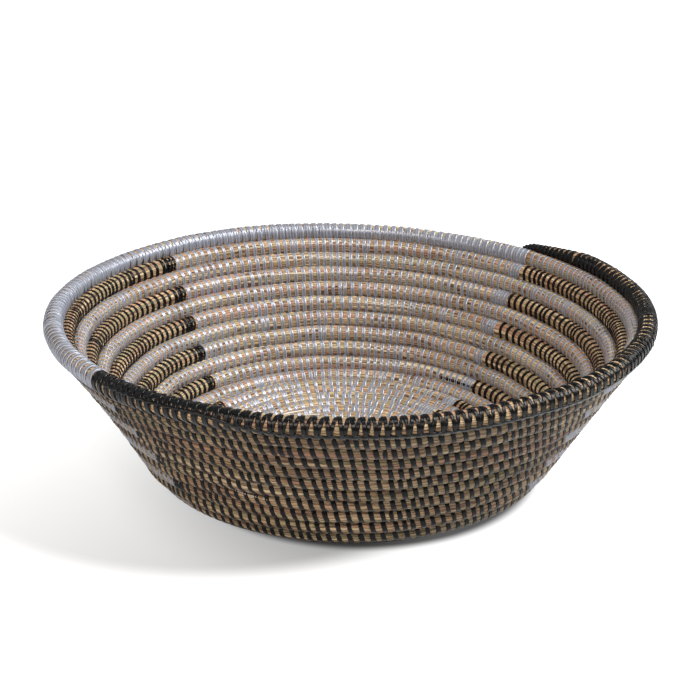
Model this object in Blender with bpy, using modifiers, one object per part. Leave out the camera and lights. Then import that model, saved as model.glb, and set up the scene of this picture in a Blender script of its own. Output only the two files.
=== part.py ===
# Coiled table basket: one long grass bundle wound in a spiral from the middle of the
# floor to the rim, bound all the way by silver and black plastic strips.
# Metres, +Z up. The origin is the middle of the underside, on the face that rests on a table.
# Turns are counted from the tail of the coil at the rim down to its tip at the start knot.
import bisect
import math

import bpy
import bmesh

# The bowl, measured to the centre line of the coil
RIM_DIAMETER = 0.325
WALL_HEIGHT = 0.0915
RIM_SLOPE = 53.0            # degrees from the floor: the wall flares towards the rim
FOOT_SLOPE = 62.0
FOOT_BEND_RADIUS = 0.024

# The coil: the spacing of its rows, and the round bundle with the strip round it
ROW_PITCH = 0.0098
COIL_RADIUS = 0.00455
STRIP_THICKNESS = 0.0005
BUNDLE_CLEARANCE = 0.00035
STRIP_END_GAP = 0.0005

# The tail at the rim, which thins out on the row below
TAIL_AZIMUTH = 48.5
TAIL_LENGTH_TURNS = 0.065
TAIL_TIP_RADIUS = 0.0017

# The start in the middle of the floor, where a thin tip lies round a knot
TIP_LENGTH_TURNS = 0.9
TIP_RADIUS = 0.0016
TIP_CENTRE_RADIUS = 0.0056
KNOT_CLEARANCE = 0.0005
KNOT_EDGE = 0.0016

# The azimuths where the strip changes colour: four lines that run from floor to rim
BACK_RIGHT_LINE = 46.0
BACK_LEFT_LINE = 140.0
FRONT_LEFT_LINE = 226.0
FRONT_RIGHT_LINE = 325.0
FLOOR_PATTERN_RADIUS = 0.033

# Facets: fewer points a turn near the middle, where the turns are small
POINTS_PER_TURN = 24
MIDDLE_POINTS_PER_TURN = 16
MIDDLE_RADIUS = 0.028
SECTION_SIDES = 6
LEAST_STRAIGHT = 0.25       # a strip ends at least this share of a facet away from a bend
LEAST_ROW_GAP = 0.0004

BASKET_COLLECTION = "coiled_table_basket"
FLAT_SHARE = math.cos(math.pi / SECTION_SIDES)


def clear_scene():
    for old in list(bpy.data.objects):
        bpy.data.objects.remove(old, do_unlink=True)
    basket = bpy.data.collections.new(BASKET_COLLECTION)
    bpy.context.scene.collection.children.link(basket)
    return basket


def principled(name, colour, roughness, metallic):
    material = bpy.data.materials.new(name)
    material.use_nodes = True
    shader = material.node_tree.nodes["Principled BSDF"]
    shader.inputs["Base Color"].default_value = (*colour, 1.0)
    shader.inputs["Roughness"].default_value = roughness
    shader.inputs["Metallic"].default_value = metallic
    return material


# The bowl's profile, walked from the rim down the wall, round the foot and in to the middle.
# The wall is a shallow arc, steeper towards the foot, and the foot is a tighter one.
TOP_SLOPE = math.radians(RIM_SLOPE)
LOW_SLOPE = math.radians(FOOT_SLOPE)
FOOT_HEIGHT = FOOT_BEND_RADIUS * (1 - math.cos(LOW_SLOPE))
WALL_BEND_RADIUS = (WALL_HEIGHT - FOOT_HEIGHT) / (math.cos(TOP_SLOPE) - math.cos(LOW_SLOPE))
WALL_RUN = WALL_BEND_RADIUS * (LOW_SLOPE - TOP_SLOPE)
FOOT_RUN = FOOT_BEND_RADIUS * LOW_SLOPE
FOOT_TOP_RADIUS = RIM_DIAMETER / 2 - WALL_BEND_RADIUS * (math.sin(LOW_SLOPE) - math.sin(TOP_SLOPE))
FLOOR_EDGE_RADIUS = FOOT_TOP_RADIUS - FOOT_BEND_RADIUS * math.sin(LOW_SLOPE)
FLOOR_CENTRE_HEIGHT = COIL_RADIUS * FLAT_SHARE
COIL_TURNS = (WALL_RUN + FOOT_RUN + FLOOR_EDGE_RADIUS - TIP_CENTRE_RADIUS) / ROW_PITCH


def profile_point(distance):
    """Radius and height of the bowl's centre line at a distance walked from the rim."""
    if distance < WALL_RUN:
        slope = TOP_SLOPE + distance / WALL_BEND_RADIUS
        fall = WALL_BEND_RADIUS * (math.cos(TOP_SLOPE) - math.cos(slope))
        return (RIM_DIAMETER / 2 - WALL_BEND_RADIUS * (math.sin(slope) - math.sin(TOP_SLOPE)),
                FLOOR_CENTRE_HEIGHT + WALL_HEIGHT - fall)
    if distance < WALL_RUN + FOOT_RUN:
        slope = LOW_SLOPE - (distance - WALL_RUN) / FOOT_BEND_RADIUS
        return (FLOOR_EDGE_RADIUS + FOOT_BEND_RADIUS * math.sin(slope),
                FLOOR_CENTRE_HEIGHT + FOOT_BEND_RADIUS * (1 - math.cos(slope)))
    return FLOOR_EDGE_RADIUS - (distance - WALL_RUN - FOOT_RUN), FLOOR_CENTRE_HEIGHT


def coil_radius(turn):
    """Outer radius of the bound coil, thinner in the tail and in the starting tip."""
    tail = TAIL_TIP_RADIUS + (COIL_RADIUS - TAIL_TIP_RADIUS) * turn / TAIL_LENGTH_TURNS
    tip = TIP_RADIUS + (COIL_RADIUS - TIP_RADIUS) * (COIL_TURNS - turn) / TIP_LENGTH_TURNS
    return min(COIL_RADIUS, tail, tip)


def coil_point(turn):
    """Centre of the coil. Where it is thin it stays against the full row beside it."""
    thinned = COIL_RADIUS - coil_radius(turn)
    if turn < COIL_TURNS / 2:
        radius, height = profile_point(turn * ROW_PITCH + thinned)
    else:
        radius, height = profile_point(turn * ROW_PITCH - thinned)
        height -= thinned * FLAT_SHARE
    azimuth = math.radians(TAIL_AZIMUTH) - 2 * math.pi * turn
    return (radius * math.cos(azimuth), radius * math.sin(azimuth), height)


def all_stations():
    """The turns where the coil bends, the same for bundle and strips, so that they stay parallel."""
    stations = [0.0]
    while stations[-1] < COIL_TURNS:
        radius = profile_point(stations[-1] * ROW_PITCH)[0]
        points = POINTS_PER_TURN if radius > MIDDLE_RADIUS else MIDDLE_POINTS_PER_TURN
        stations.append(stations[-1] + 1 / points)
    whole = [turn for turn in stations if turn < COIL_TURNS - LEAST_STRAIGHT / POINTS_PER_TURN]
    return whole + [COIL_TURNS]


STATIONS = all_stations()


def chord_point(turn):
    """A point on the straight run between two stations, with the coil's radius there."""
    index = min(bisect.bisect_right(STATIONS, turn), len(STATIONS) - 1)
    before, after = STATIONS[index - 1], STATIONS[index]
    share = (turn - before) / (after - before)
    low, high = coil_point(before), coil_point(after)
    point = [a + (b - a) * share for a, b in zip(low, high)]
    radius = coil_radius(before) + (coil_radius(after) - coil_radius(before)) * share
    return point, radius


def tube(name, first, last, inset, closed_ends, material, basket):
    """A six-sided tube along the coil, flat side down, inset from the coil's own surface."""
    curve = bpy.data.curves.new(name, "CURVE")
    curve.dimensions = "3D"
    curve.twist_mode = "Z_UP"
    curve.bevel_depth = 1.0
    curve.bevel_resolution = (SECTION_SIDES - 4) // 2
    curve.use_fill_caps = closed_ends
    stations = [first] + [turn for turn in STATIONS if first < turn < last] + [last]
    spline = curve.splines.new("POLY")
    spline.points.add(len(stations) - 1)
    for spot, turn in zip(spline.points, stations):
        point, radius = chord_point(turn)
        spot.co = (*point, 1.0)
        spot.radius = radius - inset
    curve.materials.append(material)
    piece = bpy.data.objects.new(name, curve)
    basket.objects.link(piece)
    return piece


def add_bundle(grass, basket):
    """The grass bundle: one unbroken tube from the tail at the rim to the starting tip."""
    inset = STRIP_THICKNESS + BUNDLE_CLEARANCE
    return tube("grass_bundle", 0.0, COIL_TURNS, inset, True, grass, basket)


def add_strip(name, first, last, material, basket):
    """One strip wound round the bundle: a thin sleeve over its own stretch of the coil."""
    strip = tube(name, first, last, 0.0, False, material, basket)
    wall = strip.modifiers.new("strip_wall", "SOLIDIFY")
    wall.thickness = STRIP_THICKNESS
    wall.offset = -1.0
    wall.use_even_offset = True
    wall.use_rim = True
    return strip


def turn_at(azimuth, row):
    """The turn at which a row crosses an azimuth, kept clear of the coil's bends."""
    turn = row + ((TAIL_AZIMUTH - azimuth) % 360.0) / 360.0
    bend = min(STATIONS, key=lambda station: abs(station - turn))
    clear = LEAST_STRAIGHT / POINTS_PER_TURN
    if abs(turn - bend) < clear:
        turn = bend + math.copysign(clear, turn - bend)
    return turn


def colour_runs():
    """Strips from the rim inwards. All rows are black in front and silver at the back, and at
    the sides black and silver rows take turns, so the order repeats every two rows."""
    runs = [("rim_binding_black", "black", 0.0, turn_at(FRONT_LEFT_LINE, 0)),
            ("rim_binding_silver", "silver", turn_at(FRONT_LEFT_LINE, 0), turn_at(BACK_RIGHT_LINE, 1)),
            ("silver_strip_01", "silver", turn_at(BACK_RIGHT_LINE, 1), turn_at(FRONT_RIGHT_LINE, 1))]
    pattern_end = (WALL_RUN + FOOT_RUN + FLOOR_EDGE_RADIUS - FLOOR_PATTERN_RADIUS) / ROW_PITCH
    edges = []
    row = 1
    while turn_at(BACK_RIGHT_LINE, row + 1) < pattern_end:
        edges += [("black", turn_at(FRONT_RIGHT_LINE, row)), ("silver", turn_at(BACK_LEFT_LINE, row)),
                  ("black", turn_at(BACK_RIGHT_LINE, row + 1)), ("silver", turn_at(FRONT_LEFT_LINE, row + 1))]
        row += 2
    edges = edges[:-2]
    count = {"silver": 1, "black": 0}
    for (colour, first), (_, last) in zip(edges, edges[1:]):
        count[colour] += 1
        runs.append((f"{colour}_strip_{count[colour]:02d}", colour, first, last))
    runs.append(("silver_strip_centre", "silver", edges[-1][1], COIL_TURNS))
    return runs


def add_strips(materials, basket):
    for name, colour, first, last in colour_runs():
        radius = max(profile_point(first * ROW_PITCH)[0], COIL_RADIUS)
        half_gap = STRIP_END_GAP / 2 / (2 * math.pi * radius)
        start = first + half_gap if first > 0 else first
        end = last - half_gap if last < COIL_TURNS else last
        add_strip(name, start, end, materials[colour], basket)


def add_start_knot(material, basket):
    """The knot at the middle of the floor, a low button with a rounded edge."""
    last_turn = [turn for turn in STATIONS if turn > COIL_TURNS - 1]
    inner_side = min(math.hypot(*coil_point(turn)[:2]) - coil_radius(turn) for turn in last_turn)
    radius = inner_side - KNOT_CLEARANCE
    height = 2 * FLOOR_CENTRE_HEIGHT
    mesh = bpy.data.meshes.new("start_knot")
    shape = bmesh.new()
    bmesh.ops.create_cone(shape, cap_ends=True, segments=MIDDLE_POINTS_PER_TURN,
                          radius1=radius, radius2=radius, depth=height)
    bmesh.ops.translate(shape, verts=shape.verts, vec=(0.0, 0.0, height / 2))
    shape.to_mesh(mesh)
    shape.free()
    mesh.materials.append(material)
    knot = bpy.data.objects.new("start_knot", mesh)
    basket.objects.link(knot)
    edge = knot.modifiers.new("rounded_edge", "BEVEL")
    edge.width = KNOT_EDGE
    edge.segments = 2
    edge.limit_method = "ANGLE"
    edge.angle_limit = math.radians(60)
    mesh.shade_smooth()
    mesh.set_sharp_from_angle(angle=math.radians(50))
    return knot


def measure_row_gap():
    """The least gap between a row and the next, measured between the coil's own stations."""
    least = math.inf
    spots = [(turn, coil_point(turn), coil_radius(turn)) for turn in STATIONS]
    for turn, point, radius in spots:
        for other_turn, other, other_radius in spots:
            if 0.5 < other_turn - turn < 1.5:
                least = min(least, math.dist(point, other) - radius - other_radius)
    return least


def main():
    basket = clear_scene()
    grass = principled("grass", (0.52, 0.34, 0.17), 0.75, 0.0)
    strips = {"silver": principled("silver_strip", (0.34, 0.36, 0.43), 0.32, 0.35),
              "black": principled("black_strip", (0.02, 0.02, 0.024), 0.35, 0.0)}
    add_bundle(grass, basket)
    add_strips(strips, basket)
    add_start_knot(strips["silver"], basket)
    gap = measure_row_gap()
    bundle_gap = gap + 2 * (STRIP_THICKNESS + BUNDLE_CLEARANCE)
    print(f"coil of {COIL_TURNS:.2f} turns; least gap between rows {gap * 1000:.2f} mm, "
          f"between turns of the bundle {bundle_gap * 1000:.2f} mm")
    if gap < LEAST_ROW_GAP:
        print("the rows are closer than the least gap")


main()
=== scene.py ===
import bisect
import math
import bpy
import numpy as np
from mathutils import Matrix, Vector


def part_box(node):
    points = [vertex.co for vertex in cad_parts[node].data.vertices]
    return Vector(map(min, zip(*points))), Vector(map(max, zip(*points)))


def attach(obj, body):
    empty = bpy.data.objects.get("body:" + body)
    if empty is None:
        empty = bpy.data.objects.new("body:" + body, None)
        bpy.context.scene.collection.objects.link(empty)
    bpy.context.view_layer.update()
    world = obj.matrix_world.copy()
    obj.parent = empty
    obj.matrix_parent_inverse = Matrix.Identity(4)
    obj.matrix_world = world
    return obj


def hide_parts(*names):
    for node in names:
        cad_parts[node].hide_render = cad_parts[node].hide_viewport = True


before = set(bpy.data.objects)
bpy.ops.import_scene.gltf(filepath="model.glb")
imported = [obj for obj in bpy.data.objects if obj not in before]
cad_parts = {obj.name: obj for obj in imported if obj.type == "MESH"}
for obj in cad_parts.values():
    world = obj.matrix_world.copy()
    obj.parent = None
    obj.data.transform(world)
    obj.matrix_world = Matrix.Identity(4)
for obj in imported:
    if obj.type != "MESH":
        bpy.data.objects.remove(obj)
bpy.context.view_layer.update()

# Coiled table basket: a grass coil wound from the middle of the floor to the rim, bound by
# silver and black strip. Lengths in metres. Turns are counted from the coil's tail at the
# rim down to its tip in the middle of the floor; angles round the coil's own section are 0
# up the wall, 90 degrees into the bowl and 180 down the wall, where the next row lies.

bowl = {
    "rimRadius": 0.1625,  # to the coil's centre line
    "wallHeight": 0.0915,
    "rimSlope": math.radians(53.0),  # the wall is a shallow arc between these slopes
    "footSlope": math.radians(62.0),
    "footBend": 0.024,
    "rowPitch": 0.0098,
    "floorCentre": 0.00394,
    "tailAzimuth": math.radians(48.5),
    "tailShares": ((0, 0.24), (0.006, 0.5), (0.045, 1)),  # turn and share of the full thickness
    "tipTurns": 0.9,
    "tipShare": 0.35,
    "tipCentre": 0.0056,
    "tipSink": 0.8,  # of the thickness that the tip has lost
    "tableSteps": 40000,
}

coil = {
    "grassRadius": 0.00452,
    "contact": 0.00042,  # how far rows swell where they press on each other
    "contactPower": 14,  # a higher power makes that place narrower
    "contactStart": (0.95, 20),  # the turn from which a row lies above, and how fast it comes
    "fullReach": 0.0051,  # the coil's radius with its strips on
    "stepLength": 0.00125,
    "sides": 28,
    "wobble": 0.00033,
    "wobbleRise": 0.02,  # it grows over this height above the floor's rows
    "pressMargin": 0.0001,
    "clearance": 0.00004,  # the least height above the table
}

mapScale = 100  # the coil map of every piece is in centimetres
thin = {"sides": 8, "mapReach": 0.12}  # thin tubes, and half their width in that map

outOfRound = {  # handwork: cosine and sine parts of waves 1, 2, 3 round it
    "rimFade": 0.11,  # the rim's waves fade out over this distance down the wall
    "bellyEnd": 0.112,  # the wall's own waves end here
    "rimRadius": ((0, 0), (0.00017, 0.00102), (0.00153, 0.00257)),
    "rimHeight": ((-0.00137, -0.00059), (-0.00144, 0.00062), (0.00017, -0.00025)),
    "belly": ((0.00092, 0.00036), (0.00038, -0.00035), (-0.00020, -0.00067)),
    "footShift": (0.0013, 0.0031),  # how far the foot lies off the rim's middle
}

wrap = {
    "spacing": 0.0045,
    "spacingSpread": 0.075,
    "close": {"turns": (0.9, 4), "azimuths": (0, 65), "share": 0.89},
    "wide": {"turns": (1, 12), "azimuths": (282, 330), "share": 1.09},
    "rimShares": ((0, 1.0), (20, 0.96), (65, 1.0), (90, 1.05), (150, 1.0), (215, 0.94), (250, 0.98),
                  (275, 1.05), (290, 1.12), (327, 1.18), (345, 1.08), (360, 1.0)),  # by azimuth
    "leastRadius": 0.006,
    "leastStep": 0.6,  # of the wished step
    "pull": 0.42,  # how strongly a stitch keeps to the one below it
    "floorPull": 0.35,  # on the floor it keeps between two of them instead
    "floorSpread": 0.28,
    "width": 0.0025,
    "widthShares": ((0, 0.93), (40, 0.93), (75, 1.0), (125, 1.0), (160, 1.02), (185, 1.06), (205, 1.0),
                    (235, 0.95), (260, 0.96), (300, 1.03), (330, 1.12), (350, 0.95), (360, 0.93)),
    "lean": 0.0012,  # strips slant on the outside and stand upright inside
    "leanShares": ((0, 1.0), (190, 1.0), (220, 1.7), (250, 1.4), (264, 0.8), (280, 0.5), (335, 0.3),
                   (360, 1.0)),
    "floorLean": 0.0019,
    "tightSpacing": 0.00205,
    "tightMargin": 0.8,  # room kept round a block of close stitches, in close spacings
    "joinEvery": 0.75,  # turns
    "joinFirst": (0.15, 1.6),  # shares of that up to the first join, and between joins
    "joinNext": (0.6, 1.8),
    "joinStitches": (2, 4),
    "joinLeast": 6,  # close spacings kept free of joins at a run's first end
    "blackStart": (0, 4),  # close stitches at the start of a run, from and below
    "silverStart": (2, 6),
    "edgeShare": 0.35,  # of the spacing, kept free at a run's first end
    "lastEdgeShare": 0.3,  # of that, kept free at its last end
}

seeds = {"plan": 41, "stem": 50, "swell": 60, "groove": 77, "run": 300, "rim": 900, "strip": 1000, "step": 20}
rng = np.random.default_rng(seeds["plan"])


# Bowl and coil

def bowlShape():
    # the wall's arc gets what the foot's arc leaves of the height; lengths follow from angles
    rimSlope, footSlope, footBend = bowl["rimSlope"], bowl["footSlope"], bowl["footBend"]
    rise = bowl["wallHeight"] - footBend * (1 - math.cos(footSlope))
    wallBend = rise / (math.cos(rimSlope) - math.cos(footSlope))
    wallRun = wallBend * (footSlope - rimSlope)
    footRun = footBend * footSlope
    floorEdge = (bowl["rimRadius"] - footBend * math.sin(footSlope)
                 - wallBend * (math.sin(footSlope) - math.sin(rimSlope)))
    turns = (wallRun + footRun + floorEdge - bowl["tipCentre"]) / bowl["rowPitch"]
    return wallBend, wallRun, footRun, floorEdge, turns


wallBend, wallRun, footRun, floorEdge, coilTurns = bowlShape()


def bowlProfile(walked):
    # radius, height and slope at a distance walked from the rim: wall arc, foot arc, flat floor
    rimSlope, footSlope, footBend = bowl["rimSlope"], bowl["footSlope"], bowl["footBend"]
    onFloor = np.maximum(walked - wallRun - footRun, 0)
    onWall = rimSlope + np.clip(walked, 0, wallRun) / wallBend
    onFoot = footSlope - np.clip(walked - wallRun, 0, footRun) / footBend
    radius = (bowl["rimRadius"] - onFloor - wallBend * (np.sin(onWall) - math.sin(rimSlope))
              - footBend * (math.sin(footSlope) - np.sin(onFoot)))
    height = (bowl["floorCentre"] + bowl["wallHeight"] - wallBend * (math.cos(rimSlope) - np.cos(onWall))
              - footBend * (np.cos(onFoot) - math.cos(footSlope)))
    return radius, height, np.where(walked < wallRun, onWall, onFoot)


def readTable(table, where):
    # a value between the entries of a table of places and values
    places, values = zip(*table)
    return np.interp(where, places, values)


def azimuthAt(turn):
    # degrees round the bowl at a turn of the coil
    return (math.degrees(bowl["tailAzimuth"]) - 360 * turn) % 360


def aroundAt(turn):
    # once round the bowl at a turn of the coil
    return math.tau * bowlProfile(np.asarray(turn) * bowl["rowPitch"])[0]


def joined(*parts):
    # arrays spread over one grid, as the places of its points
    return np.stack(np.broadcast_arrays(*parts), -1)


def coilShare(turn):
    # thickness as a share of the full coil: thin in the tail and in the starting tip
    tail = readTable(bowl["tailShares"], turn)
    tip = bowl["tipShare"] + (1 - bowl["tipShare"]) * (coilTurns - turn) / bowl["tipTurns"]
    return np.where(turn < coilTurns / 2, tail, np.clip(tip, bowl["tipShare"], 1))


upward = np.array([0, 0, 1.0])
waveCounts = np.array([3, 5, 8, 13, 21])
wavePhases = rng.uniform(0, math.tau, (2, len(waveCounts)))
waveDrift = rng.uniform(-0.5, 0.5, (2, len(waveCounts)))


def roundWaves(parts, azimuth):
    # sum over the waves of cosine part * cos(n azimuth) + sine part * sin(n azimuth)
    return sum(c * np.cos(n * azimuth) + s * np.sin(n * azimuth) for n, (c, s) in enumerate(parts, 1))


def coilCentre(turn):
    # centre line of the coil, a little out of round, with small waves alike from row to row
    turn = np.asarray(turn, float)
    thinned = (1 - coilShare(turn)) * coil["fullReach"]
    outer = turn < coilTurns / 2
    walked = turn * bowl["rowPitch"] + np.where(outer, thinned, -thinned)
    radius, height, slope = bowlProfile(walked)
    height = height - np.where(outer, 0, thinned * bowl["tipSink"])
    azimuth = bowl["tailAzimuth"] - math.tau * turn
    atRim = np.clip(1 - walked / outOfRound["rimFade"], 0, 1)
    belly = np.sin(math.pi * np.clip(walked / outOfRound["bellyEnd"], 0, 1))
    shift = (1 - atRim) * np.clip(radius / floorEdge, 0, 1)
    radius = (radius + atRim * roundWaves(outOfRound["rimRadius"], azimuth) * radius / bowl["rimRadius"]
              + belly * roundWaves(outOfRound["belly"], azimuth))
    height = height + atRim * roundWaves(outOfRound["rimHeight"], azimuth)
    angles = waveCounts * azimuth[..., None] + waveDrift[:, None] * turn[..., None] + wavePhases[:, None]
    waves = (np.sin(angles) / np.sqrt(waveCounts)).sum(-1) * coil["wobble"]
    raised = np.clip((height - bowl["floorCentre"]) / coil["wobbleRise"], 0, 1)
    radius = radius + waves[0] * raised
    height = height + waves[1] * raised
    outward = joined(np.cos(azimuth), np.sin(azimuth), 0)
    centre = outward * radius[..., None] + upward * height[..., None]
    return centre + shift[..., None] * np.array([*outOfRound["footShift"], 0]), outward, slope


def coilNormal(outward, slope, angle):
    # direction from the coil's centre at an angle round its section
    return outward * np.cos(slope + angle)[..., None] + upward * np.sin(slope + angle)[..., None]


def coilSpot(turn, angle):
    # centres of the coil and the directions from them at angles round its section
    centres, outward, slope = coilCentre(turn)
    return centres, coilNormal(outward, slope, angle)


def pressFlat(points, centres):
    # below its centre a floor row is pressed flat, so that it rests on the table's plane
    middle = centres[:, None, 2]
    share = np.clip(middle / (coil["fullReach"] + coil["pressMargin"]), 0, 1)
    below = np.minimum(points[..., 2] - middle, 0)
    lifted = points.copy()
    lifted[..., 2] = np.maximum(points[..., 2] - below * (1 - share), coil["clearance"])
    return lifted


def lengthTable():
    # length of coil walked up to each turn, for even steps along it
    turns = np.linspace(0, coilTurns, bowl["tableSteps"])
    around = aroundAt(turns)
    steps = np.diff(turns) * (around[1:] + around[:-1]) / 2
    return turns, np.concatenate([[0], np.cumsum(steps)])


tableTurns, tableLengths = lengthTable()


def smoothNoise(count, seed, spread=1.0):
    # random values at whole numbers, read between them with a smooth step
    values = np.random.default_rng(seed).normal(0, spread, count + 2)

    def read(where):
        low = np.clip(np.floor(where).astype(int), 0, count)
        share = np.clip(where - low, 0, 1)
        share = share * share * (3 - 2 * share)
        return values[low] * (1 - share) + values[low + 1] * share
    return read


# Stitches

def isWithin(place, turn, azimuth):
    # whether a stitch lies in a place
    (first, last), (near, far) = place["turns"], place["azimuths"]
    return first < turn < last and near < azimuth < far


def spacingAt(turn):
    # the usual spacing, changed along the rim and in two places where the hand worked closer or wider
    azimuth = azimuthAt(turn)
    if isWithin(wrap["close"], turn, azimuth):
        return wrap["spacing"] * wrap["close"]["share"]
    if turn < 1:
        return wrap["spacing"] * float(readTable(wrap["rimShares"], azimuth))
    return wrap["spacing"] * (wrap["wide"]["share"] if isWithin(wrap["wide"], turn, azimuth) else 1)


def leanAt(turn):
    # how far the strips lean, as a length along the coil: the wall's lean turns into the floor's
    onFloor = np.clip((turn * bowl["rowPitch"] - wallRun) / footRun, 0, 1)
    onWall = wrap["lean"] * readTable(wrap["leanShares"], azimuthAt(turn))
    return onWall * (1 - onFloor) + wrap["floorLean"] * onFloor


def planStitches():
    # worked from the floor outwards: a wished step on, pulled towards the stitch in the row below
    placed = [-coilTurns]
    while placed[-1] < 0:
        here = -placed[-1]
        around = max(float(aroundAt(here)), math.tau * wrap["leastRadius"])
        onFloor = here * bowl["rowPitch"] > wallRun + footRun
        spread = wrap["floorSpread"] if onFloor else wrap["spacingSpread"]
        step = spacingAt(here) / around * (1 + rng.normal(0, spread))
        wish = here - step
        index = bisect.bisect_left(placed, -(wish + 1))
        if 1 < index < len(placed) - 1:
            spots = placed[index - 2:index + 2]
            if onFloor:
                spots = [(before + after) / 2 for before, after in zip(spots, spots[1:])]
            near = min(spots, key=lambda spot: abs(spot + wish + 1))
            wish += wrap["floorPull" if onFloor else "pull"] * (-near - 1 - wish)
        wish = min(wish, here - wrap["leastStep"] * step)
        placed.append(-wish)
    return np.array(placed)[::-1] * -1


stitchTurns = planStitches()


def runStitches(first, last, startTight, joined, seed):
    # stitches of one strip, with a few close ones where it starts and where it was joined on
    own = np.random.default_rng(seed)
    inside = stitchTurns[(stitchTurns > first) & (stitchTurns < last)]
    around = aroundAt((first + last) / 2)
    tight = wrap["tightSpacing"] / around
    blocks = []
    if startTight:
        blocks.append((last - startTight * tight, startTight))
    spot = last - own.uniform(*wrap["joinFirst"]) * wrap["joinEvery"]
    while joined and spot > first + wrap["joinLeast"] * tight:
        blocks.append((spot, int(own.integers(*wrap["joinStitches"]))))
        spot -= own.uniform(*wrap["joinNext"]) * wrap["joinEvery"]
    margin = tight * wrap["tightMargin"]
    for start, count in blocks:
        end = start + count * tight
        inside = inside[(inside < start - margin) | (inside > end + margin)]
        inside = np.concatenate([inside, start + tight * np.arange(count + 1)])
    inside = np.sort(inside)
    edge = wrap["edgeShare"] * wrap["spacing"] / around
    inside = inside[(inside > first + edge) & (inside < last - edge * wrap["lastEdgeShare"])]
    return np.concatenate([[first], inside, [last]])


# Meshes

def addObject(name, data):
    # a mesh, camera or lamp placed in the scene
    piece = bpy.data.objects.new(name, data)
    bpy.context.scene.collection.objects.link(piece)
    return piece


def ringFaces(rows, columns):
    # quads between rings of points that follow each other
    row = np.arange(rows - 1)[:, None] * columns
    column = np.arange(columns)
    following = (column + 1) % columns
    faces = np.stack([row + column, row + following, row + columns + following, row + columns + column], -1)
    return faces.reshape(-1, 4)


def tubeMesh(name, tubes):
    # tubes of rings and their map, as one closed mesh: fans close the ends, and the faces are
    # turned outwards by the sign of the volume
    points, quads, fans, uvs, offset = [], [], [], [], 0
    for rings, uv in tubes:
        count, sides = rings.shape[:2]
        points.append(rings.reshape(-1, 3))
        uvs.append(uv.reshape(-1, 2))
        quads.append(ringFaces(count, sides) + offset)
        fans += [np.arange(sides)[::-1] + offset, (count - 1) * sides + np.arange(sides) + offset]
        offset += count * sides
    points, quads, uvs = np.concatenate(points), np.concatenate(quads), np.concatenate(uvs)
    a, b, c, d = (points[quads[:, corner]] for corner in range(4))
    if np.einsum("ij,ij->", a, np.cross(b, c)) + np.einsum("ij,ij->", a, np.cross(c, d)) < 0:
        quads = quads[:, ::-1]
        fans = [fan[::-1] for fan in fans]
    loops = np.concatenate([quads.ravel(), *fans])
    sizes = np.array([4] * len(quads) + [len(fan) for fan in fans])
    mesh = bpy.data.meshes.new(name)
    mesh.vertices.add(len(points))
    mesh.vertices.foreach_set("co", points.astype(np.float32).ravel())
    mesh.loops.add(len(loops))
    mesh.loops.foreach_set("vertex_index", loops.astype(np.int32))
    mesh.polygons.add(len(sizes))
    mesh.polygons.foreach_set("loop_start", (np.cumsum(sizes) - sizes).astype(np.int32))
    mesh.polygons.foreach_set("loop_total", sizes.astype(np.int32))
    mesh.update(calc_edges=True)
    layer = mesh.uv_layers.new(name="coilMap")
    layer.data.foreach_set("uv", uvs[loops].astype(np.float32).ravel())
    mesh.shade_smooth()
    return addObject(name, mesh)


def pathLength(path):
    # the length walked along a path up to each of its points
    return np.concatenate([[0], np.cumsum(np.linalg.norm(np.diff(path, axis=0), axis=1))])


def taperedEnds(along, reach, least=0):
    # rises to one from its least value at both ends of a path
    return np.clip(np.minimum(along - along[0], along[-1] - along) / reach, least, 1)


def thinTube(path, normals, wide, high):
    # an oval section carried along a path, with its half sizes across the path and outwards
    across = np.cross(np.gradient(path, axis=0), normals)
    across /= np.linalg.norm(across, axis=1, keepdims=True)
    around = np.linspace(0, math.tau, thin["sides"], endpoint=False)
    rings = (path[:, None] + across[:, None] * (wide[:, None] * np.cos(around))[..., None]
             + normals[:, None] * (high[:, None] * np.sin(around))[..., None])
    return rings, joined(pathLength(path)[:, None] * mapScale, thin["mapReach"] * np.cos(around))


def buildPiece(name, tubes, material, node):
    # tubes as a piece with its material, on the root body, with the solid that it stands for hidden
    piece = tubeMesh(name, tubes)
    piece.data.materials.append(material)
    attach(piece, "root")
    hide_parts(node)


# Grass

grass = {
    "stemCounts": (7, 10, 13),
    "stemHeights": (0.00014, 0.00012, 0.00010),
    "stemWander": (0.03, 2.2),  # length along the coil and spread of the stems' phases
    "stemSwell": (0.011, 0.5),  # the same for their heights
    "underStrip": 0.1,  # share of a stem's height that is left under a strip
    "rimFreedom": 1.4,
    "bulge": 0.00022,
    "pieces": 4,
}


def freeOfStrips(turn, angle, runs):
    # 1 half way between two stitches and 0 under one, as half of one minus a cosine; on the rim
    # both windings press the grass, so the two are multiplied
    stitches = np.concatenate([run["stitches"][:-1] for run in runs])
    passes = np.interp(turn, stitches, np.arange(len(stitches)))
    leaning = leanAt(turn) / wrap["spacing"] * (1 + np.cos(angle)) / 2
    plain = 0.5 - 0.5 * np.cos(math.tau * (passes - leaning) - (angle - math.pi))
    blackEnd, silverEnd = runs[0]["last"], runs[1]["last"]
    crossing = np.where(turn < blackEnd, crossingAt("black", turn), crossingAt("silver", turn))
    over = 0.5 - 0.5 * np.cos(math.tau * passes - (angle - crossing))
    under = 0.5 - 0.5 * np.cos(math.tau * passes + (angle - crossing))
    return np.where(turn < silverEnd, grass["rimFreedom"] * over * under, plain)


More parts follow.
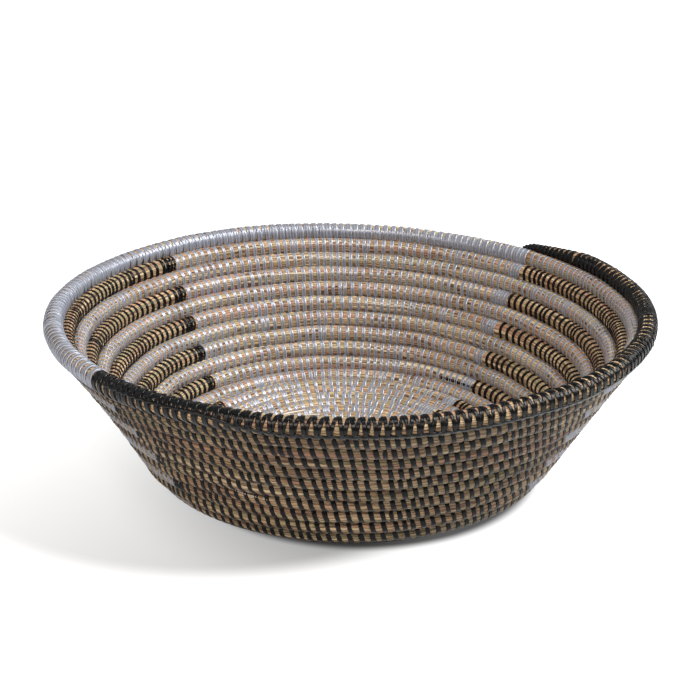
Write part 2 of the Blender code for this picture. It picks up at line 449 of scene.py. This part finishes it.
def grassReach(turn, angle, along, runs):
    # radius of the bundle: stems as waves round it whose phases wander along it, pressed in
    # by each strip, and swollen where rows press on each other
    free = freeOfStrips(turn, angle, runs)
    reach = np.full(np.broadcast(turn, angle).shape, coil["grassRadius"])
    wander, wanderSpread = grass["stemWander"]
    swellStep, swellSpread = grass["stemSwell"]
    for index, (count, height) in enumerate(zip(grass["stemCounts"], grass["stemHeights"])):
        phase = smoothNoise(int(along.max() / wander) + 2, seeds["stem"] + index, wanderSpread)
        swell = smoothNoise(int(along.max() / swellStep) + 2, seeds["swell"] + index, swellSpread)
        height = height * (1 + swell(along / swellStep)) * np.sin(count * angle + phase(along / wander))
        reach = reach + height * (grass["underStrip"] + (1 - grass["underStrip"]) * free)
    contactTurn, contactRise = coil["contactStart"]
    above = np.clip((turn - contactTurn) * contactRise, 0, 1)
    touching = np.where(np.cos(angle) > 0, above, 1) * np.cos(angle) ** coil["contactPower"]
    reach = reach + grass["bulge"] * (2 * free - 1) + coil["contact"] * touching
    return reach * coilShare(turn)


def buildGrass(material, runs):
    # the bundle in pieces end to end, because one would hold too many triangles
    total = tableLengths[-1]
    count = int(total / coil["stepLength"])
    along = np.linspace(0, total, count)
    turns = np.interp(along, tableLengths, tableTurns)
    angles = np.linspace(0, math.tau, coil["sides"], endpoint=False) + math.pi
    centres, outward, slope = coilCentre(turns)
    reach = grassReach(turns[:, None], angles, along[:, None], runs)
    normals = coilNormal(outward[:, None], slope[:, None], angles)
    points = pressFlat(centres[:, None] + normals * reach[..., None], centres)
    uv = joined(along[:, None] * mapScale, (angles - math.pi) * coil["grassRadius"] * mapScale)
    edges = np.linspace(0, count - 1, grass["pieces"] + 1).astype(int)
    for index, (start, end) in enumerate(zip(edges, edges[1:])):
        part = slice(start, end + 1)
        tubes = [(points[part], uv[part])]
        buildPiece(f"grass_coil_{index + 1}", tubes, material, "grass_bundle")


# Strips

strip = {
    "across": np.array([-0.5, -0.43, -0.23, 0.0, 0.23, 0.43, 0.5, 0.0]),  # its creased section
    "above": np.array([0.0, 0.75, 1.0, 0.42, 1.0, 0.75, 0.0, -0.6]),
    "height": 0.00036,
    "sink": 0.00004,
    "segments": 20,  # each time round the coil
    "dive": 0.0010,  # how far it goes into the row below
    "diveStart": (0.72, 0.28, 1.5),  # cosine where that begins, its range and the curve's power
    "endFade": 0.12,  # share of a pass over which an end sinks in
    "endSink": 0.0009,
    "creaseReach": 0.3,  # the part of the section that moves with the crease
    "uneven": {"lift": (3, 0.00004), "width": (1, 0.07), "fineWidth": (5, 0.035), "crease": (2, 0.035),
               "sides": (2, 0.16)},  # changes a pass and their spread
    "widthLimits": (0.0012, 0.97),  # least width, and most as a share of the spacing
    "thinning": 0.3,  # how much narrower it gets where the coil is thin
}


def stripPath(stitches, sense, crossing, shear):
    # a helix: once round the coil from stitch to stitch, either way round
    last = len(stitches) - 1
    passes = np.linspace(0, last, last * strip["segments"] + 1)
    turn = np.interp(passes, np.arange(last + 1), stitches)
    angle = crossing(turn) + sense * math.tau * passes
    around = aroundAt(turn)
    spacing = np.gradient(turn, passes) * around
    turn = turn + shear(turn) * (1 - np.cos(math.tau * passes)) / 2 / around
    return passes, np.clip(turn, 0, coilTurns), angle, spacing


def stripRings(passes, turn, angle, spacing, width, proud, dive, seed):
    # the strip's creased section carried along its helix, sinking at both ends
    count = int(passes[-1]) + 2

    def uneven(key, offset):
        changes, spread = strip["uneven"][key]
        return smoothNoise(count * changes, seed + offset, spread)(passes * changes)

    centres, normals = coilSpot(turn, angle)
    share = coilShare(turn)
    ends = taperedEnds(passes, strip["endFade"])
    diveFrom, diveRange, divePower = strip["diveStart"]
    depth = dive * np.clip((np.cos(angle - math.pi) - diveFrom) / diveRange, 0, 1) ** divePower
    reach = (coil["grassRadius"] - strip["sink"] + proud + uneven("lift", 0)) * share
    reach = reach + depth - (1 - ends) * strip["endSink"]
    path = centres + normals * reach[:, None]
    along = np.gradient(path, axis=0)
    across = np.cross(along, normals)
    across /= np.linalg.norm(across, axis=1, keepdims=True) + 1e-12
    widths = width * (1 + uneven("width", 1) + uneven("fineWidth", 2))
    least, most = strip["widthLimits"]
    widths = np.clip(widths, least, np.maximum(spacing * most, least))
    sides = 1 + uneven("sides", 4)
    moves = np.abs(strip["across"]) < strip["creaseReach"]
    shapeW = strip["across"] + uneven("crease", 3)[:, None] * moves
    shapeH = np.broadcast_to(strip["above"], shapeW.shape).copy()
    shapeH[:, 1:3] *= sides[:, None]
    shapeH[:, 4:6] *= (2 - sides)[:, None]
    narrow = 1 - strip["thinning"] * (1 - share)
    rings = (path[:, None] + across[:, None] * (shapeW * (widths * narrow)[:, None])[..., None]
             + normals[:, None] * (shapeH * strip["height"] * (0.5 + 0.5 * share)[:, None])[..., None])
    rings = pressFlat(rings, centres)
    return rings, joined(pathLength(path)[:, None] * mapScale, strip["across"] * wrap["width"] * mapScale)


laidTail = {"turns": (9.973, 10.013), "rings": 24, "angle": 120.0, "out": 0.00452, "wide": 0.0011,
            "high": 0.00022}


def layTail():
    # the end of one black strip, laid along the coil under the stitches before it
    turn = np.linspace(*laidTail["turns"], laidTail["rings"])
    centres, normals = coilSpot(turn, math.radians(laidTail["angle"]))
    size = np.ones(len(turn))
    path = centres + normals * laidTail["out"]
    return thinTube(path, normals, size * laidTail["wide"], size * laidTail["high"])


def stripTubes(stitches, seed):
    # one winding that climbs from stitch to stitch over its own stretch of the coil
    passes, turn, angle, spacing = stripPath(stitches, 1, lambda turn: math.pi, leanAt)
    width = wrap["width"] * readTable(wrap["widthShares"], azimuthAt(turn))
    tubes = [stripRings(passes, turn, angle, spacing, width, 0, strip["dive"], seed)]
    first, last = laidTail["turns"]
    if first < stitches[0] < last:
        tubes.append(layTail())
    return tubes


rim = {
    "crossings": {  # turn along the rim, angle in degrees
        "black": ((0, 28), (0.135, 36), (0.19, 48), (0.245, 74), (0.30, 88), (0.385, 92), (0.41, 94),
                  (0.42, 98), (0.43, 104), (0.44, 108), (0.47, 110), (0.51, 116)),
        "silver": ((0.50, 216), (0.635, 212), (0.75, 205), (1.01, 202)),
    },
    "shear": 0.0006,
    "dive": 0.6,  # share of the usual dive into the row below
    "under": 0.00008,  # how proud the lower and the upper winding stand
    "over": 0.00044,
    "widths": {
        "black": ((0, 0.0026), (0.05, 0.0029), (0.18, 0.0027), (0.24, 0.0022), (0.30, 0.0020),
                  (0.41, 0.0021), (0.425, 0.0026), (0.44, 0.0028), (0.51, 0.0030)),
        "silver": ((0.50, 0.0026), (0.56, 0.0024), (0.70, 0.0025), (0.77, 0.0028), (1.01, 0.0028)),
    },
    "tailEnd": 0.034,  # on the tail the stitches open from close to usual
    "tailSpacing": (0.0022, 0.0044),
    "tailMargin": 0.003,
}

groove = {
    "turns": (0.17, 0.500),
    "step": 0.0009,
    "out": 0.00508,
    "angles": ((0.17, -80), (0.40, -80), (0.412, -72), (0.425, -58), (0.437, -35), (0.443, -26), (0.51, -24)),
    "sway": 0.05,  # round the coil and away from it, once a stitch
    "ripple": 0.00008,
    "radius": 0.00072,
    "oval": (1.25, 0.7),  # half width and half height in radii
    "uneven": (3, 0.12),  # steps a change and its spread
    "ends": (0.004, 0.05),  # how far they taper, and their least share
}


def crossingAt(colour, turn):
    # where the two windings of the rim cross
    return np.radians(readTable(rim["crossings"][colour], turn))


def grooveStrand():
    # the strip's run over the outside of the rim, then in the groove under it: a thin wavy strand
    turn = np.arange(*groove["turns"], groove["step"])
    waves = np.interp(turn, stitchTurns, np.arange(len(stitchTurns))) * math.tau
    angle = np.radians(readTable(groove["angles"], turn)) + groove["sway"] * np.sin(waves)
    centres, normals = coilSpot(turn, angle)
    path = centres + normals * (groove["out"] + groove["ripple"] * np.cos(waves))[:, None]
    change, spread = groove["uneven"]
    uneven = smoothNoise(200, seeds["groove"], spread)(np.arange(len(turn)) / change)
    radius = groove["radius"] * taperedEnds(turn, *groove["ends"]) * (1 + uneven)
    wide, high = groove["oval"]
    return thinTube(path, normals, radius * wide, radius * high)


def rimTubes(stitches, colour, seed):
    # two windings in opposite senses, which cross twice each time round
    tubes = []
    for sense, proud in ((-1, rim["under"]), (1, rim["over"])):
        passes, turn, angle, spacing = stripPath(
            stitches, sense, lambda turn: crossingAt(colour, turn), lambda turn: rim["shear"])
        width = readTable(rim["widths"][colour], turn)
        dive = strip["dive"] * rim["dive"]
        rings, uv = stripRings(passes, turn, angle, spacing, width, proud, dive, seed + sense)
        if sense < 0:
            rings, uv = rings[:, ::-1], uv[:, ::-1]
        tubes.append((rings, uv))
    if colour == "black":
        tubes.append(grooveStrand())
    return tubes


pattern = {  # azimuths of the four lines where the colour changes
    "backRight": 46.0,
    "backLeft": ((1, 137.8), (5, 140.0), (9, 142.2), (11, 146.5)),  # by row
    "frontLeft": 226.0,
    "frontRight": 325.0,
    "middleRadius": 0.033,  # plain silver inside it
}


def turnAt(azimuth, row):
    # the turn at which a row reaches an azimuth
    return row + ((math.degrees(bowl["tailAzimuth"]) - azimuth) % 360) / 360


def tailStitches(first, last):
    # the rim's stitches, set closely on the tail
    around = math.tau * bowl["rimRadius"]
    margin = rim["tailMargin"]
    close = [first]
    while close[-1] < rim["tailEnd"]:
        spacing = float(np.interp(close[-1], (0, rim["tailEnd"]), rim["tailSpacing"]))
        close.append(close[-1] + spacing / around)
    inside = stitchTurns[(stitchTurns > close[-1] + margin) & (stitchTurns < last - margin)]
    return np.concatenate([close if first < rim["tailEnd"] else [first], inside, [last]])


def stripRuns():
    # name, colour, turns and stitches of every strip; the order repeats every two rows
    change, last = turnAt(pattern["frontLeft"], 0), turnAt(pattern["backRight"], 1)
    runs = [("rim_binding_black", "black", 0.0, change), ("rim_binding_silver", "silver", change, last),
            ("silver_strip_01", "silver", last, turnAt(pattern["frontRight"], 1))]
    patternEnd = (wallRun + footRun + floorEdge - pattern["middleRadius"]) / bowl["rowPitch"]
    edges = []
    row = 1
    while turnAt(pattern["backRight"], row + 1) < patternEnd:
        backLeft = float(readTable(pattern["backLeft"], row))
        edges += [("black", turnAt(pattern["frontRight"], row)), ("silver", turnAt(backLeft, row)),
                  ("black", turnAt(pattern["backRight"], row + 1)),
                  ("silver", turnAt(pattern["frontLeft"], row + 1))]
        row += 2
    edges = edges[:-2]
    count = {"silver": 1, "black": 0}
    for (colour, first), (_, end) in zip(edges, edges[1:]):
        count[colour] += 1
        runs.append((f"{colour}_strip_{count[colour]:02d}", colour, first, end))
    runs.append(("silver_strip_centre", "silver", edges[-1][1], coilTurns))
    planned = []
    for index, (node, colour, first, last) in enumerate(runs):
        tightStart = int(rng.integers(*wrap[colour + "Start"]))
        if node.startswith("rim"):
            stitches = tailStitches(first, last)
        else:
            stitches = runStitches(first, last, tightStart, colour == "silver", seeds["run"] + index)
        planned.append({"node": node, "colour": colour, "last": last, "stitches": stitches})
    return planned


def buildStrips(materials, runs):
    # one piece for each run of colour, under the name of its solid
    for index, run in enumerate(runs):
        node, colour, stitches = run["node"], run["colour"], run["stitches"]
        finish = colour + "Strip"
        if node.startswith("rim"):
            tubes = rimTubes(stitches, colour, seeds["rim"] + seeds["step"] * index)
            finish = "blackRimStrip" if colour == "black" else finish
        else:
            tubes = stripTubes(stitches, seeds["strip"] + seeds["step"] * index)
        name = node.replace("strip", "winding").replace("binding", "zigzag")
        buildPiece(name, tubes, materials[finish], node)


# Stems that have come loose and lie on the coil

looseRings, looseEnds = 30, (1 / 12, 0.2)  # how far the ends taper, and their least share
looseStems = (  # radius, distance from the coil's centre, turns and angles
    (0.00052, 0.00510, ((15.750, 104), (15.773, 110), (15.787, 116), (15.803, 116))),
    (0.00036, 0.00500, ((16.785, 82), (16.800, 95), (16.812, 105), (16.822, 110))),
    (0.00026, 0.00480, ((3.820, 96), (3.835, 96), (3.850, 102))),
    (0.00050, 0.00425, ((7.452, -32), (7.444, -40), (7.436, -48), (7.424, -58))),
)


def buildLooseStems(material):
    # a round tube through each stem's places, with thin ends
    share = np.linspace(0, 1, looseRings)
    tubes = []
    for size, out, places in looseStems:
        turns, angles = zip(*places)
        spots = np.linspace(0, 1, len(places))
        angle = np.radians(np.interp(share, spots, angles))
        centres, normals = coilSpot(np.interp(share, spots, turns), angle)
        radius = size * taperedEnds(share, *looseEnds)
        tubes.append(thinTube(centres + normals * out, normals, radius, radius))
    buildPiece("loose_stems", tubes, material, "grass_bundle")


# The knot in the middle of the floor

knot = {
    "folds": 11,
    "rings": 16,
    "around": 132,
    "twist": 1.6,
    "opening": 0.06,  # angle left open at the top
    "sideCrease": 0.08,  # how deep a crease goes, as shares of radius and height
    "topCrease": 0.13,
    "edgeHeight": 0.55,
    "foot": 0.0001,
    "mapSize": (0.9, 0.16),
}


def buildKnot(material):
    # a low button: radius and height over a quarter circle, lowered along creases between the
    # folds of strip that run to its middle, where the absolute sine of half their angle is 0
    low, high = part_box("start_knot")
    radius = (high.x - low.x) / 2
    top = high.z
    share = np.linspace(0, 1, knot["rings"])[:, None]
    around = np.linspace(0, math.tau, knot["around"], endpoint=False)[None, :]
    fold = np.sqrt(np.abs(np.sin(knot["folds"] * around / 2 + knot["twist"] * share)))
    out = radius * np.sin(knot["opening"] + share * (math.pi / 2 - knot["opening"]))
    out = out * (1 - knot["sideCrease"] * (1 - fold))
    height = top * (knot["edgeHeight"] + (1 - knot["edgeHeight"]) * np.cos(share * math.pi / 2))
    height = height * (1 - knot["topCrease"] * (1 - fold) * np.sqrt(share))
    rings = joined(out * np.cos(around), out * np.sin(around), height)
    foot = rings[-1:].copy()
    foot[..., 2] = knot["foot"]
    rings = np.concatenate([rings, foot])
    # the map's width follows the folds, so the strip finish paints shade into the creases
    long, wide = knot["mapSize"]
    uv = joined(np.linspace(0, long, knot["rings"] + 1)[:, None], wide * np.concatenate([fold, fold[-1:]]))
    buildPiece("knot_button", [(rings, uv)], material, "start_knot")


# Materials

number, colourKind = "NodeSocketFloat", "NodeSocketColor"


def newGroup(name, *inputs):
    # a shader node group that turns the coil map into a finish, and what comes in by its sockets
    group = bpy.data.node_groups.new(name, "ShaderNodeTree")
    for label, kind, value in (("Coil", "NodeSocketVector", (0, 0, 0)), *inputs):
        socket = group.interface.new_socket(name=label, in_out="INPUT", socket_type=kind)
        socket.default_value = value
    for label, kind in (("Colour", colourKind), ("Roughness", number), ("Height", number)):
        group.interface.new_socket(name=label, in_out="OUTPUT", socket_type=kind)
    return group, group.nodes.new("NodeGroupInput").outputs


def feed(tree, node, sockets):
    # a node's sockets, by name or number: linked to another node, or set to a plain value
    for name, value in sockets.items():
        if isinstance(value, bpy.types.NodeSocket):
            tree.links.new(value, node.inputs[name])
        else:
            node.inputs[name].default_value = value


def addNode(tree, kind, settings=None, **sockets):
    # a node with its settings and what goes into its sockets
    node = tree.nodes.new(kind)
    for name, value in (settings or {}).items():
        setattr(node, name, value)
    feed(tree, node, sockets)
    return node


def mixColour(tree, factor, first, second, blend="MIX"):
    # the first colour blended with the second by the factor
    node = addNode(tree, "ShaderNodeMix", {"data_type": "RGBA", "blend_type": blend})
    feed(tree, node, {0: factor, 6: first, 7: second})
    return node.outputs[2]


def maths(tree, operation, *values, clamp=False):
    # one step of arithmetic on sockets or numbers
    node = addNode(tree, "ShaderNodeMath", {"operation": operation, "use_clamp": clamp})
    feed(tree, node, dict(enumerate(values)))
    return node.outputs[0]


def times(tree, first, second):
    # first times second
    return maths(tree, "MULTIPLY", first, second)


def plus(tree, first, second):
    # first plus second
    return maths(tree, "ADD", first, second)


def vectorMaths(tree, operation, first, second):
    # one step of arithmetic on vectors
    node = addNode(tree, "ShaderNodeVectorMath", {"operation": operation})
    feed(tree, node, {0: first, 1: second})
    return node.outputs["Value" if operation == "DISTANCE" else "Vector"]


def axis(tree, vector, name):
    # one coordinate of a vector
    return addNode(tree, "ShaderNodeSeparateXYZ", Vector=vector).outputs[name]


def greyLevel(tree, value):
    # a value as a grey colour
    return addNode(tree, "ShaderNodeCombineColor", Red=value, Green=value, Blue=value).outputs["Color"]


def stretched(tree, spots, scale, place=(0, 0, 0)):
    # coordinates stretched and moved, so that no two patterns are alike
    node = addNode(tree, "ShaderNodeMapping", Vector=spots, Scale=scale, Location=place)
    return node.outputs["Vector"]


def streaks(tree, spots, scale, detail, place):
    # noise on stretched coordinates
    spots = stretched(tree, spots, scale, place)
    node = addNode(tree, "ShaderNodeTexNoise", Vector=spots, Scale=1.0, Detail=detail, Roughness=0.6)
    return node.outputs["Fac"]


stemScale = (0.14, 7.0, 1)


def stemCells(tree, spots, feature):
    # long narrow cells that stand for single stems: their random colour or how far their edge is
    node = addNode(tree, "ShaderNodeTexVoronoi", {"voronoi_dimensions": "2D", "feature": feature},
                   Vector=stretched(tree, spots, stemScale), Scale=1.0)
    return node.outputs["Distance" if feature == "DISTANCE_TO_EDGE" else "Color"]


def ramp(tree, factor, stops):
    # a colour between the stops, which are places and colours
    node = addNode(tree, "ShaderNodeValToRGB", Fac=factor)
    elements = node.color_ramp.elements
    while len(elements) < len(stops):
        elements.new(0.5)
    for element, (position, colour) in zip(elements, stops):
        element.position = position
        element.color = (*colour, 1)
    return node.outputs["Color"]


def grassGroup():
    # single stems of several colours along the coil, painted shade in the seams between them, fine fibres on
    # them
    group, given = newGroup("grassStems", ("Paleness", number, 0.0))
    place = given["Coil"]
    drift = streaks(group, place, (0.45, 0.7, 1), 1.0, (5, 5, 5))
    offset = addNode(group, "ShaderNodeCombineXYZ", Y=times(group, drift, 0.35)).outputs["Vector"]
    stems = vectorMaths(group, "ADD", place, offset)
    random = addNode(group, "ShaderNodeSeparateColor", Color=stemCells(group, stems, "F1")).outputs
    edge = stemCells(group, stems, "DISTANCE_TO_EDGE")
    hues = streaks(group, place, (0.16, 0.9, 1), 2.0, (31, 2, 4))
    fibres = streaks(group, stems, (1.3, 24, 1), 3.0, (9, 1, 2))
    straw = ramp(group, random["Red"], [(0.0, (0.34, 0.22, 0.13)), (0.25, (0.55, 0.39, 0.23)),
                                        (0.6, (0.66, 0.50, 0.31)), (1.0, (0.80, 0.65, 0.43))])
    other = ramp(group, random["Green"], [(0.0, (0.46, 0.25, 0.16)), (0.45, (0.60, 0.37, 0.24)),
                                          (0.55, (0.42, 0.34, 0.19)), (1.0, (0.55, 0.45, 0.27))])
    pick = plus(group, times(group, random["Blue"], 0.5), times(group, hues, 0.8))
    chosen = ramp(group, pick, [(0.60, (0, 0, 0)), (0.74, (1, 1, 1))])
    colour = mixColour(group, chosen, straw, other)
    # painted shade: near-black brown along the stems' cell edges, for the shade in the gaps between stems
    paintedSeamShade = ramp(group, edge, [(0.02, (0.10, 0.06, 0.04)), (0.11, (0.78, 0.75, 0.72)), (0.22, (1, 1, 1))])
    colour = mixColour(group, 0.9, colour, paintedSeamShade, "MULTIPLY")
    lines = ramp(group, fibres, [(0.36, (0.50, 0.45, 0.42)), (0.50, (1, 1, 1)), (0.70, (1.12, 1.1, 1.08))])
    colour = mixColour(group, 0.8, colour, lines, "MULTIPLY")
    colour = mixColour(group, given["Paleness"], colour, (0.92, 0.86, 0.72, 1))
    rough = maths(group, "MULTIPLY_ADD", fibres, -0.25, 0.68)
    rounded = maths(group, "POWER", maths(group, "MULTIPLY", edge, 2.2, clamp=True), 0.6)
    height = plus(group, times(group, rounded, 0.75), times(group, fibres, 0.3))
    addNode(group, "NodeGroupOutput", Colour=colour, Roughness=rough, Height=height)
    return group


def stripGroup():
    # long fine ridges in the plastic, with slow changes of tone and painted shade along its middle crease
    group, given = newGroup("plasticStrip", ("Colour", colourKind, (0.5, 0.5, 0.5, 1)),
                            ("Tone", number, 0.8), ("Roughness", number, 0.35))
    place = given["Coil"]
    ridges = streaks(group, place, (0.7, 32, 1), 3.0, (1, 5, 0))
    tone = streaks(group, place, (0.9, 3, 1), 2.0, (8, 3, 1))
    scuffs = streaks(group, place, (6, 14, 1), 2.0, (4, 4, 7))
    bright = plus(group, times(group, ridges, 0.55), times(group, tone, 0.75))
    shade = maths(group, "MULTIPLY_ADD", plus(group, bright, -0.65), given["Tone"], 1.0)
    colour = mixColour(group, 1.0, given["Colour"], greyLevel(group, shade), "MULTIPLY")
    # painted shade: darker towards the middle of the map's width, which is the strip's middle crease, the
    # knot's creases between folds, and the outer and inner line of thin tubes
    shadedCreaseDistance = maths(group, "ABSOLUTE", axis(group, place, "Y"))
    crease = ramp(group, shadedCreaseDistance, [(0.02, (0.45, 0.45, 0.46)), (0.16, (1, 1, 1))])
    colour = mixColour(group, 1.0, colour, crease, "MULTIPLY")
    scuffed = times(group, plus(group, scuffs, -0.5), 0.35)
    rough = maths(group, "ADD", given["Roughness"], scuffed, clamp=True)
    addNode(group, "NodeGroupOutput", Colour=colour, Roughness=rough, Height=ridges)
    return group


finishes = {  # group, depth and strength of the bump, metallic, specular, and the group's values
    "dryGrass": ("stems", 0.0005, 0.8, 0.0, 0.36, {}),
    "paleStraw": ("stems", 0.0001, 0.5, 0.0, 0.5, {"Paleness": 0.85}),
    "silverStrip": ("strips", 0.00012, 0.6, 0.27, 0.7, {"Colour": (0.54, 0.59, 0.71, 1), "Roughness": 0.33}),
    "blackStrip": ("strips", 0.00018, 0.7, 0.0, 0.16,
                   {"Colour": (0.0042, 0.0046, 0.0062, 1), "Roughness": 0.22}),
    "blackRimStrip": ("strips", 0.00018, 0.7, 0.0, 0.26,
                      {"Colour": (0.0032, 0.0036, 0.0050, 1), "Roughness": 0.16}),
}


def newMaterial(name):
    # a material with its node tree and its Principled shader
    material = bpy.data.materials.new(name)
    material.use_nodes = True
    return material, material.node_tree, material.node_tree.nodes["Principled BSDF"]


def buildMaterials():
    # each finish is a Principled shader fed by a group that reads the piece's own coil map
    groups = {"stems": grassGroup(), "strips": stripGroup()}
    materials = {}
    for name, (group, depth, strength, metallic, specular, values) in finishes.items():
        material, tree, shader = newMaterial(name)
        place = addNode(tree, "ShaderNodeUVMap", {"uv_map": "coilMap"}).outputs["UV"]
        made = addNode(tree, "ShaderNodeGroup", {"node_tree": groups[group]}, Coil=place, **values).outputs
        bump = addNode(tree, "ShaderNodeBump", Strength=strength, Distance=depth, Height=made["Height"])
        feed(tree, shader, {"Base Color": made["Colour"], "Roughness": made["Roughness"],
                            "Metallic": metallic, "Specular IOR Level": specular,
                            "Normal": bump.outputs["Normal"]})
        materials[name] = material
    return materials


# Studio

studio = {
    "lens": 68.92,
    "cameraPlace": (0.02419, -0.68968, 0.33763),
    "pitch": math.radians(21.413),
    "yaw": math.radians(-1.810),
    "roll": math.radians(0.655),
    "lights": {  # place, size, power, colour
        "key": ((1.02, 0.125, 0.85), 0.60, 14.4, (1.0, 0.985, 0.96)),
        "topLight": ((0.56, 0.09, 1.18), 0.45, 7.0, (1.0, 0.985, 0.96)),
        "frontFill": ((-0.22, -0.89, 0.93), 0.45, 8.1, (1.0, 0.88, 0.76)),
        "lowFill": ((-0.88, -0.86, 0.42), 0.50, 2.3, (1.0, 0.88, 0.76)),
        "rightFill": ((0.16, -0.95, 0.90), 0.50, 1.5, (1.0, 0.94, 0.88)),
        "leftFill": ((-0.99, 0.27, 0.85), 0.50, 0.4, (1.0, 1.0, 1.0)),
    },
    "aim": (0, 0, 0.04),
    "sensor": 36,
    "clipStart": 0.05,
    "worldLevel": 0.07,
    "mirroredLevel": 0.35,  # a room isn't white all round
}

sheet = {
    "size": 8,
    "colour": (0.35, 0.365, 0.385, 1),
    "roughness": 0.9,
    "specular": 0.1,
    "glow": 0.392,  # at the core of the painted shadow, and below how it grows from there
    "core": (0.01, -0.09, 0),
    "coreReach": 0.03,
    "perMetre": 2.0,
    "towardsBack": 1.2,
    "backFrom": 0.11,
    "ring": (-0.075, 0.036, 0),  # outside this circle the sheet is fully pale, inside it holds the painted shadow
    "ringRadius": 0.169,
    "ringSoftness": (0.012, 0.010),
    "open": 1.0,
    "foot": (0.008, -0.002, 0),
    "footRadius": 0.0995,
    "footSoftness": 0.004,
    "footPaintedShadow": (0.004, 0.1),  # how far the painted contact shadow beside the foot reaches, and its least share
    # how far the painted shade in the sheet's colour beside the foot reaches, and its least share
    "footPaintedShade": (0.05, 0.2),
}


def buildCamera():
    # right and up from yaw and pitch, then turned by the roll
    pitch, yaw, roll = studio["pitch"], studio["yaw"], studio["roll"]
    forward = Vector((math.sin(yaw) * math.cos(pitch), math.cos(yaw) * math.cos(pitch), -math.sin(pitch)))
    level = Vector((math.cos(yaw), -math.sin(yaw), 0))
    upright = level.cross(forward)
    right = level * math.cos(roll) + upright * math.sin(roll)
    up = upright * math.cos(roll) - level * math.sin(roll)
    data = bpy.data.cameras.new("view")
    data.lens = studio["lens"]
    data.sensor_width = studio["sensor"]
    data.clip_start = studio["clipStart"]
    camera = addObject("view", data)
    turned = Matrix((right, up, -forward)).transposed().to_4x4()
    turned.translation = Vector(studio["cameraPlace"])
    camera.matrix_world = turned
    bpy.context.scene.camera = camera


def areaLight(name, place, size, power, colour):
    # a round lamp that looks at the basket
    data = bpy.data.lights.new(name, "AREA")
    data.shape, data.size, data.energy, data.color = "DISK", size, power, colour
    lamp = addObject(name, data)
    lamp.location = place
    lamp.rotation_euler = (Vector(studio["aim"]) - Vector(place)).to_track_quat("-Z", "Y").to_euler()


def smoothStep(tree, value, first, last):
    # 0 up to the first value, 1 from the last, a smooth step between them
    node = addNode(tree, "ShaderNodeMapRange", {"interpolation_type": "SMOOTHSTEP"}, Value=value)
    feed(tree, node, {"From Min": first, "From Max": last})
    return node.outputs["Result"]


def footShade(tree, place, reach, least):
    # painted shade beside the foot: rises from its least value there to one at a distance from it
    away = vectorMaths(tree, "DISTANCE", place, sheet["foot"])
    radius = sheet["footRadius"]
    clear = smoothStep(tree, away, radius - sheet["footSoftness"], radius + reach)
    return plus(tree, times(tree, clear, 1 - least), least)


def sheetGlowWithPaintedShadow(tree, place):
    # how pale the sheet glows, with a painted shadow: least in front of the basket on the left, more with
    # distance and towards the back, white outside a ring, and a tenth of that under the foot, a painted
    # contact shadow
    away = vectorMaths(tree, "DISTANCE", place, sheet["core"])
    away = plus(tree, away, -sheet["coreReach"])
    back = plus(tree, axis(tree, place, "Y"), sheet["backFrom"])
    glow = plus(tree, times(tree, away, sheet["perMetre"]), times(tree, back, sheet["towardsBack"]))
    glow = maths(tree, "MINIMUM", plus(tree, glow, sheet["glow"]), sheet["open"])
    radius, (inner, outer) = sheet["ringRadius"], sheet["ringSoftness"]
    ring = vectorMaths(tree, "DISTANCE", place, sheet["ring"])
    outside = smoothStep(tree, ring, radius - inner, radius + outer)
    glow = plus(tree, times(tree, outside, sheet["open"]),
                times(tree, maths(tree, "SUBTRACT", 1.0, outside), glow))
    return times(tree, glow, footShade(tree, place, *sheet["footPaintedShadow"]))


def seenShare(tree, mirrored):
    # 1 for what the camera sees itself or through glass, and a share of that in reflections
    ray = addNode(tree, "ShaderNodeLightPath").outputs
    reflected = times(tree, ray["Is Glossy Ray"], mirrored)
    return maths(tree, "MAXIMUM", ray["Is Camera Ray"],
                 maths(tree, "MAXIMUM", reflected, ray["Is Transmission Ray"]))


def buildSheet():
    # a pale sheet that shows white where it is fully lit and keeps the basket's real shadow, with painted
    # shadow in its glow and painted shade in its colour beside the foot
    bpy.ops.mesh.primitive_plane_add(size=sheet["size"])
    piece = bpy.context.object
    piece.name = "paleFloor"
    material, tree, shader = newMaterial("paleFloor")
    place = addNode(tree, "ShaderNodeTexCoord").outputs["Object"]
    # painted shade: the sheet's colour darker beside the foot
    level = greyLevel(tree, footShade(tree, place, *sheet["footPaintedShade"]))
    glow = times(tree, seenShare(tree, 1.0), sheetGlowWithPaintedShadow(tree, place))
    feed(tree, shader, {"Base Color": mixColour(tree, 1.0, level, sheet["colour"], "MULTIPLY"),
                        "Roughness": sheet["roughness"], "Specular IOR Level": sheet["specular"],
                        "Emission Color": (1, 1, 1, 1), "Emission Strength": glow})
    piece.data.materials.append(material)


def buildWorld():
    # white to the camera, dimmed in reflections, and a plain soft light for everything else
    world = bpy.data.worlds.new("studio")
    bpy.context.scene.world = world
    world.use_nodes = True
    tree = world.node_tree
    level = maths(tree, "MAXIMUM", seenShare(tree, studio["mirroredLevel"]), studio["worldLevel"])
    feed(tree, tree.nodes["Background"], {"Color": (1, 1, 1, 1), "Strength": level})


bpy.context.scene.view_settings.view_transform = "Standard"
buildCamera()
buildWorld()
buildSheet()
for name, lamp in studio["lights"].items():
    areaLight(name, *lamp)
print("studio ready")

materials = buildMaterials()
runs = stripRuns()
buildGrass(materials["dryGrass"], runs)
print("grass coil ready:", round(float(tableLengths[-1]), 2), "m of coil,", len(stitchTurns), "stitches")
buildLooseStems(materials["paleStraw"])
buildStrips(materials, runs)
buildKnot(materials["silverStrip"])
print("strips ready")
